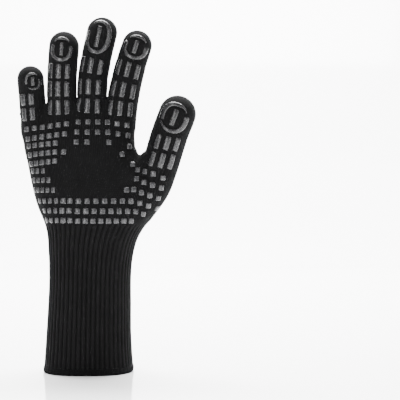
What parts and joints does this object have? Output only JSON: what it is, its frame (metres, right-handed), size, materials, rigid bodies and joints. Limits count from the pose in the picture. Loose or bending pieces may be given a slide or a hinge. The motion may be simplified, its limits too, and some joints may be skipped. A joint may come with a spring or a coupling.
{
  "type": "heat resistant glove",
  "caption": "Knitted heat-resistant glove with raised silicone grips, a cotton inner glove and a long ribbed cuff. The fingers, thumb and wrist bend.",
  "frame": {"origin": "on the plane of the cuff's rim, midway across and midway through the whole glove", "axes": "+Z from the cuff's rim to the fingertips, +X to the thumb's side, -Y out of the palm"},
  "size_m": [0.1756, 0.0732, 0.3475],
  "materials": {
    "knit": "knitted aramid fibre, matt black",
    "rib": "rib-knitted aramid fibre, matt black",
    "hem": "rolled and overlocked knit, matt black",
    "cotton": "soft brushed cotton, grey",
    "silicone": "raised printed silicone, dark grey, semi-gloss"
  },
  "bodies": {
    "cuff": {"cuff_hem": "hem", "cuff_shell": "rib", "cuff_liner": "cotton", "wrist_shell": "rib", "wrist_liner": "cotton"},
    "palm": {"palm_shell": "knit", "palm_liner": "cotton", "palm_grips": "silicone", "back_grips": "silicone", "knuckle_grips": "silicone"},
    "index_base": {"index_base_shell": "knit", "index_base_liner": "cotton", "index_base_grips": "silicone"},
    "index_middle": {"index_middle_shell": "knit", "index_middle_liner": "cotton", "index_middle_grips": "silicone"},
    "index_tip": {"index_tip_shell": "knit", "index_tip_liner": "cotton", "index_tip_ring": "silicone", "index_tip_bar": "silicone"},
    "middle_base": {"middle_base_shell": "knit", "middle_base_liner": "cotton", "middle_base_grips": "silicone"},
    "middle_middle": {"middle_middle_shell": "knit", "middle_middle_liner": "cotton", "middle_middle_grips": "silicone"},
    "middle_tip": {"middle_tip_shell": "knit", "middle_tip_liner": "cotton", "middle_tip_ring": "silicone", "middle_tip_bar": "silicone"},
    "ring_base": {"ring_base_shell": "knit", "ring_base_liner": "cotton", "ring_base_grips": "silicone"},
    "ring_middle": {"ring_middle_shell": "knit", "ring_middle_liner": "cotton", "ring_middle_grips": "silicone"},
    "ring_tip": {"ring_tip_shell": "knit", "ring_tip_liner": "cotton", "ring_tip_ring": "silicone", "ring_tip_bar": "silicone"},
    "little_base": {"little_base_shell": "knit", "little_base_liner": "cotton", "little_base_grips": "silicone"},
    "little_tip": {"little_tip_shell": "knit", "little_tip_liner": "cotton", "little_tip_ring": "silicone", "little_tip_bar": "silicone"},
    "thumb_base": {"thumb_base_shell": "knit", "thumb_base_liner": "cotton", "thumb_base_grips": "silicone"},
    "thumb_tip": {"thumb_tip_shell": "knit", "thumb_tip_liner": "cotton", "thumb_tip_ring": "silicone", "thumb_tip_bar": "silicone"}
  },
  "joints": [
    {"name": "wrist_bend", "type": "hinge", "parent": "cuff", "child": "palm", "pos_m": [-0.01505, 0, 0.119], "axis": [1, 0, 0], "range_deg": [-30, 30], "deforming": ["wrist_shell", "wrist_liner"]},
    {"name": "index_base_bend", "type": "hinge", "parent": "palm", "child": "index_base", "pos_m": [0.01555, -0.00888, 0.2662], "axis": [1, 0, 0], "range_deg": [0, 60]},
    {"name": "index_middle_bend", "type": "hinge", "parent": "index_base", "child": "index_middle", "pos_m": [0.01955, -0.00982, 0.2852], "axis": [0.9732, 0, -0.2301], "range_deg": [0, 60]},
    {"name": "index_tip_bend", "type": "hinge", "parent": "index_middle", "child": "index_tip", "pos_m": [0.02425, -0.01076, 0.303], "axis": [0.9578, 0, -0.2873], "range_deg": [0, 50]},
    {"name": "middle_base_bend", "type": "hinge", "parent": "palm", "child": "middle_base", "pos_m": [-0.01485, -0.0087, 0.2689], "axis": [1, 0, 0], "range_deg": [0, 60]},
    {"name": "middle_middle_bend", "type": "hinge", "parent": "middle_base", "child": "middle_middle", "pos_m": [-0.01365, -0.0097, 0.2883], "axis": [0.9929, 0, -0.1186], "range_deg": [0, 60]},
    {"name": "middle_tip_bend", "type": "hinge", "parent": "middle_middle", "child": "middle_tip", "pos_m": [-0.01025, -0.0112, 0.3074], "axis": [0.9768, 0, -0.2142], "range_deg": [0, 50]},
    {"name": "ring_base_bend", "type": "hinge", "parent": "palm", "child": "ring_base", "pos_m": [-0.04455, -0.00876, 0.266], "axis": [1, 0, 0], "range_deg": [0, 60]},
    {"name": "ring_middle_bend", "type": "hinge", "parent": "ring_base", "child": "ring_middle", "pos_m": [-0.04425, -0.00976, 0.2842], "axis": [0.9993, 0, -0.0372], "range_deg": [0, 60]},
    {"name": "ring_tip_bend", "type": "hinge", "parent": "ring_middle", "child": "ring_tip", "pos_m": [-0.04325, -0.01076, 0.3009], "axis": [0.9974, 0, -0.0717], "range_deg": [0, 50]},
    {"name": "little_base_bend", "type": "hinge", "parent": "palm", "child": "little_base", "pos_m": [-0.07295, -0.00774, 0.259], "axis": [1, 0, 0], "range_deg": [0, 60]},
    {"name": "little_tip_bend", "type": "hinge", "parent": "little_base", "child": "little_tip", "pos_m": [-0.07385, -0.00877, 0.2726], "axis": [0.9977, 0, 0.0672], "range_deg": [0, 50]},
    {"name": "thumb_base_bend", "type": "hinge", "parent": "palm", "child": "thumb_base", "pos_m": [0.05075, -0.0188, 0.1964], "axis": [0.891, 0, -0.454], "range_deg": [0, 35]},
    {"name": "thumb_tip_bend", "type": "hinge", "parent": "thumb_base", "child": "thumb_tip", "pos_m": [0.06225, -0.02283, 0.232], "axis": [0.9456, 0, -0.3255], "range_deg": [0, 50]}
  ]
}
